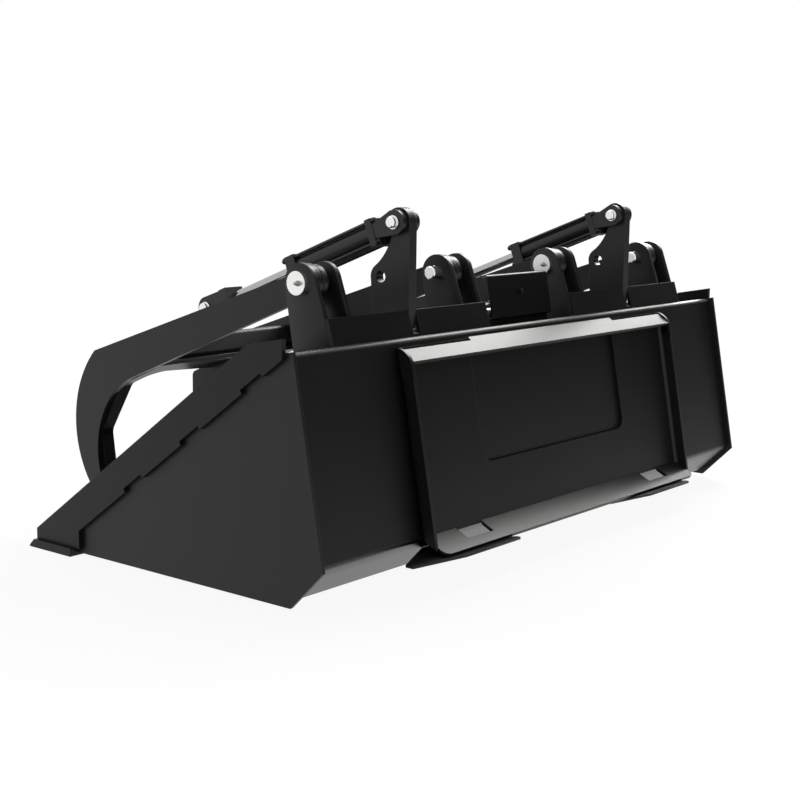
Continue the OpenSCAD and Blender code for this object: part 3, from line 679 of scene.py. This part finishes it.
bend_out(cover, lambda v: (v - cover_middle).dot(UP_WALL) > 0, COVER_LIP * FORWARD)
bend_out(cover, lambda v: (v - cover_middle).dot(UP_WALL) < 0, COVER_FOOT * FORWARD)
turn_faces_out(cover)
back_face = max(cover.data.polygons, key=lambda polygon: polygon.area)
sheet = cover.modifiers.new("sheet", "SOLIDIFY")
sheet.thickness = COVER_T
sheet.offset = -1 if back_face.normal.dot(REAR) > 0 else 1
bpy.ops.object.modifier_apply(modifier="sheet")
for outside, inward in ((cover_foot, UP_WALL), (cover_head, -UP_WALL)):
    for depth, radius in ((0, COVER_BEND), (COVER_T, COVER_BEND - COVER_T)):
        fold = outside + depth * (FORWARD + inward)
        round_folds(cover, radius, 5, lambda v: (Vector((0, *v.yz)) - fold).length < FOLD_NEAR)
# The cover's copy of the paint is darkened: painted shade.
cover_paint = black_paint("cover_paint", 9.4, roughness=0.36, sheen=0.17, painted_light_level=0.5)
finish_piece(cover, "bent_cover", cover_paint, "bucket")
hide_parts("hose_cover")

BAR_SHORT = 0.004
BAR_BACK = 0.012
BAR_FRONT = 0.040
BAR_INTO_COVER = 0.0005
BAR_INTO_FLANGE = 0.0002
bar = stock_at(BAR_SHORT - cover_half, cover_half - BAR_SHORT, cover_foot)
saw(bar, cover_foot + BAR_BACK * FORWARD, REAR)
saw(bar, cover_foot + BAR_FRONT * FORWARD, FORWARD)
saw(bar, cover_foot + BAR_INTO_COVER * UP_WALL, UP_WALL)
saw(bar, cover_foot - (COVER_RISE + BAR_INTO_FLANGE) * UP_WALL, -UP_WALL)
break_edges(bar, width=0.0006)
finish_piece(bar, "cover_bar", cover_paint, "bucket")

coat(turned_steel("bolt_steel", (0.06, 0.06, 0.06), 0.3), "cover_bolt")
couplers = copy_of("hose_couplers")
couplers.data.transform(Matrix.Translation(COVER_RISE * UP_WALL))
coupler_steel = turned_steel("coupler_steel", (0.30, 0.30, 0.29), 0.36)
finish_piece(couplers, "coupler_ends", coupler_steel, "bucket")
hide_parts("hose_couplers")

# Grapples: hooked tines cut from plate, joined by a bent plate and a square tube. Each
# tine turns on a bushing tube with a collar ring at its middle.
TINE_T = 0.016
TINE_SKIN = 0.00005
TUBE_R = 0.023
TUBE_BORE_R = 0.0162
COLLAR_R = 0.038
COLLAR_HALF = 0.008
HUB_CHAMFER = 0.0015


def turned(centre, profile, sides=56):
    """A piece turned about an axis along X through centre, from (along, radius) steps.
    A profile that ends where it starts is a ring, and any other is closed at both ends."""
    centre = Vector(centre)
    along, radius = profile[0]
    bpy.ops.object.select_all(action="DESELECT")
    bpy.ops.mesh.primitive_circle_add(
        vertices=sides, radius=radius, location=centre + Vector((along, 0, 0)),
        rotation=(0, math.pi / 2, 0),
    )
    bpy.ops.object.transform_apply(location=True, rotation=True, scale=True)
    edit_all()
    for new_along, new_radius in profile[1:]:
        bpy.ops.mesh.extrude_edges_move(
            TRANSFORM_OT_translate={"value": (new_along - along, 0, 0)}
        )
        ratio = new_radius / radius
        bpy.ops.transform.resize(value=(1, ratio, ratio), center_override=centre)
        along, radius = new_along, new_radius
    bpy.ops.mesh.select_all(action="SELECT")
    bpy.ops.mesh.remove_doubles(threshold=0.00001)
    bpy.ops.mesh.fill_holes(sides=0)
    bpy.ops.mesh.select_all(action="SELECT")
    bpy.ops.mesh.normals_make_consistent(inside=False)
    done_editing()
    return bpy.context.object


tube_start = TINE_T - TUBE_HALF
tube = turned(hinge, (
    (tube_start, TUBE_BORE_R), (tube_start, TUBE_R), (TUBE_HALF - HUB_CHAMFER, TUBE_R),
    (TUBE_HALF, TUBE_R - HUB_CHAMFER), (TUBE_HALF, TUBE_BORE_R), (tube_start, TUBE_BORE_R),
))
collar = turned(hinge, (
    (-COLLAR_HALF, TUBE_BORE_R), (-COLLAR_HALF, COLLAR_R - HUB_CHAMFER),
    (-COLLAR_HALF + HUB_CHAMFER, COLLAR_R), (COLLAR_HALF - HUB_CHAMFER, COLLAR_R),
    (COLLAR_HALF, COLLAR_R - HUB_CHAMFER), (COLLAR_HALF, TUBE_BORE_R),
    (-COLLAR_HALF, TUBE_BORE_R),
))
# The tines' copy of the paint is darkened a little: painted shade, shared by the webs, cross tubes,
# lugs and ribs.
tine_paint = black_paint("tine_paint", 7.7, roughness=0.38, painted_light_level=0.85)
for number, hub in zip(PAIRS, repeated(joined([tube, collar]), pair_moves)):
    side = "left" if number < 3 else "right"
    tine = copy_of(f"tine_{number}")
    saw(tine, (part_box(f"tine_{number}")[0][0] + TINE_T + TINE_SKIN, 0, 0), (1, 0, 0))
    tine = joined([tine, hub])
    finish_piece(tine, f"hooked_tine_{number}", tine_paint, f"grapple_{side}")
    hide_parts(f"tine_{number}")
for side in ("left", "right"):
    coat(tine_paint, f"web_{side}", f"cross_tube_{side}", f"rod_lug_{side}", f"web_rib_{side}")

# Cylinders: steel tubes clamped between square caps by four tie rods, with a clevis at
# each end, painted black. The chromed rods and the pistons inside are bare.
cylinder_paint = black_paint("cylinder_paint", 8.8, roughness=0.36, sheen=0.42)
chrome = turned_steel("rod_chrome", (0.43, 0.44, 0.45), 0.08)
dull_steel = turned_steel("dull_steel", (0.34, 0.34, 0.33), 0.34)
for side in ("left", "right"):
    coat(cylinder_paint, f"cylinder_base_{side}", f"barrel_{side}", f"gland_{side}")
    coat(cylinder_paint, f"tie_rods_{side}", f"rod_clevis_{side}")
    coat(chrome, f"rod_{side}")
    coat(dull_steel, f"piston_{side}")

# Hinge pins: turned steel with a bright zinc finish, each with a round head that holds
# a grease nipple, and a tail past the ears with a roll pin through it. Pins 1 and 3
# have their heads at the left, and pins 2 and 4 at the right.
PIN_R = 0.015875
PIN_SKIN = 0.00008
TAIL = 0.029
TAIL_INTO_PIN = 0.001
TAIL_CHAMFER = 0.003
pin_steel = turned_steel("pin_steel", (0.90, 0.90, 0.89), 0.20)
mirror = Matrix.Scale(-1, 4, (1, 0, 0))
pin_moves = [
    across(pair_x[number]) @ (mirror if number in (2, 4) else Matrix.Identity(4))
    for number in PAIRS
]
coat(pin_steel, *[f"hinge_pin_{number}" for number in PAIRS])
head_end, tail_end = [corner[0] - pair_x[1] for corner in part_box("hinge_pin_1")]
tail_length = EAR_PAIR_HALF + TAIL - tail_end
tail = turned(hinge + Vector((tail_end, 0, 0)), (
    (-TAIL_INTO_PIN, PIN_R + PIN_SKIN), (tail_length - TAIL_CHAMFER, PIN_R + PIN_SKIN),
    (tail_length, PIN_R - TAIL_CHAMFER),
))
for number, tail in zip(PAIRS, repeated(tail, pin_moves)):
    finish_piece(tail, f"pin_tail_{number}", pin_steel, "bucket")

# A nipple's steps, out from the pin's head: a collar, a hexagon's round, a neck, a ball.
NIPPLE_BACK = 0.007
NIPPLE_STEPS = (
    (-0.001, 0.0062), (0.003, 0.0062), (0.0032, 0.0042), (0.0065, 0.0042), (0.0074, 0.0024),
    (0.0086, 0.0024), (0.0100, 0.0036), (0.0116, 0.0030), (0.0124, 0.0012),
)
nipple = turned(
    hinge + Vector((head_end, -NIPPLE_BACK, 0)),
    [(-out, radius) for out, radius in NIPPLE_STEPS],
    sides=20,
)
for number, nipple in zip(PAIRS, repeated(nipple, pin_moves)):
    finish_piece(nipple, f"grease_nipple_{number}", dull_steel, "bucket")

ROLL_PIN_HALF = 0.0167
ROLL_PIN_R = 0.004
ROLL_PIN_BORE_R = 0.0022
ROLL_PIN_END_R = 0.0028
ROLL_PIN_TAPER = 0.002
ROLL_PIN_OFF = 0.009
roll_pin = turned((0, 0, 0), (
    (-ROLL_PIN_HALF, ROLL_PIN_BORE_R), (-ROLL_PIN_HALF, ROLL_PIN_END_R),
    (ROLL_PIN_TAPER - ROLL_PIN_HALF, ROLL_PIN_R), (ROLL_PIN_HALF - ROLL_PIN_TAPER, ROLL_PIN_R),
    (ROLL_PIN_HALF, ROLL_PIN_END_R), (ROLL_PIN_HALF, ROLL_PIN_BORE_R),
    (-ROLL_PIN_HALF, ROLL_PIN_BORE_R),
), sides=24)
roll_pin.data.transform(
    Matrix.Translation(hinge + Vector((EAR_PAIR_HALF + ROLL_PIN_OFF, 0, 0)))
    @ Matrix.Rotation(math.radians(90), 4, "Y")
)
roll_pins = joined(repeated(roll_pin, pin_moves))
finish_piece(roll_pins, "roll_pins", pin_steel, "bucket")
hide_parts("hinge_nuts")

# Cylinder pins: bare turned steel with a snap ring near each end, one through each
# mast and one through each rod clevis.
CLEVIS_PIN_R = 0.0127
CLEVIS_PIN_HALF = 0.045
CLEVIS_CHAMFER = 0.0025
SNAP_RING_AT = 0.0325
SNAP_RING_HALF = 0.0009
SNAP_RING_R = CLEVIS_PIN_R + 0.003
SNAP_RING_BORE_R = CLEVIS_PIN_R - 0.0005
shaft = turned((0, 0, 0), (
    (-CLEVIS_PIN_HALF, CLEVIS_PIN_R - CLEVIS_CHAMFER),
    (CLEVIS_CHAMFER - CLEVIS_PIN_HALF, CLEVIS_PIN_R),
    (CLEVIS_PIN_HALF - CLEVIS_CHAMFER, CLEVIS_PIN_R),
    (CLEVIS_PIN_HALF, CLEVIS_PIN_R - CLEVIS_CHAMFER),
))
snap_ring = turned((0, 0, 0), (
    (-SNAP_RING_HALF, SNAP_RING_BORE_R), (-SNAP_RING_HALF, SNAP_RING_R),
    (SNAP_RING_HALF, SNAP_RING_R), (SNAP_RING_HALF, SNAP_RING_BORE_R),
    (-SNAP_RING_HALF, SNAP_RING_BORE_R),
))
snap_rings = repeated(snap_ring, [across(-SNAP_RING_AT), across(SNAP_RING_AT)])
cylinder_pins = (
    ("mast", "left", "bucket"), ("rod", "left", "rod_body_left"),
    ("mast", "right", "bucket"), ("rod", "right", "rod_body_right"),
)


def to_pin(end, side):
    """The move from the origin to the middle of a cylinder pin."""
    low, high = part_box(f"{end}_pin_{side}")
    grapple_x = joints[f"grapple_{side}_hinge"]["pos_m"][0]
    return Matrix.Translation((grapple_x, (low[1] + high[1]) / 2, (low[2] + high[2]) / 2))


moves = [to_pin(end, side) for end, side, _ in cylinder_pins]
for (end, side, body), pin in zip(cylinder_pins, repeated(joined([shaft, *snap_rings]), moves)):
    finish_piece(pin, f"bare_{end}_pin_{side}", pin_steel, body)
    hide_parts(f"{end}_pin_{side}")
